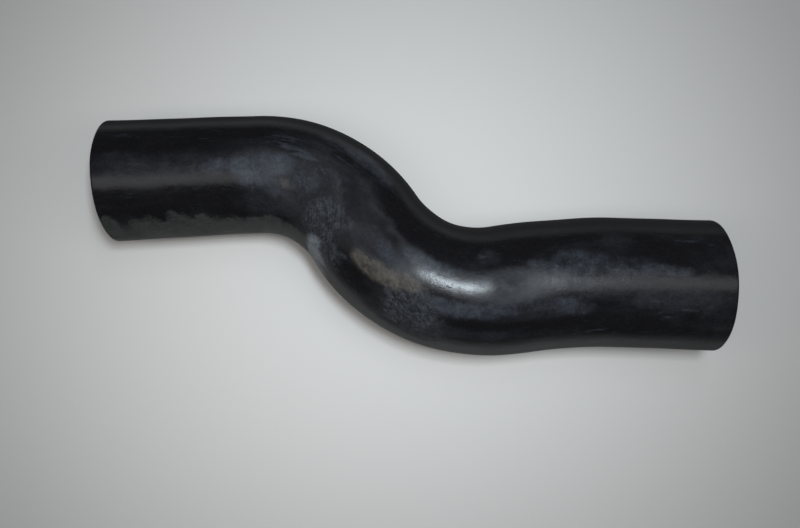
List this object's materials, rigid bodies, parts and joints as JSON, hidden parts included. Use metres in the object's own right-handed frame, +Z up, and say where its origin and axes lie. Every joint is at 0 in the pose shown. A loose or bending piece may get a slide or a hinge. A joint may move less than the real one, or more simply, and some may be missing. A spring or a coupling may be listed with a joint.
{
  "type": "charge air hose",
  "caption": "S-shaped moulded rubber hose that carries charge air between two pipe ends set apart, widening from the smaller bore to the larger.",
  "frame": {"origin": "centre of the bounding box on the surface that the hose lies on", "axes": "+X along the small cuff, from the small end towards the large end; +Z up from the surface it lies on; the first bend turns towards -Y"},
  "size_m": [0.299, 0.128, 0.0651],
  "materials": {
    "rubber": "satin moulded rubber, dusty and wiped"
  },
  "bodies": {
    "root": {"charge_air_hose": "rubber"}
  },
  "joints": []
}
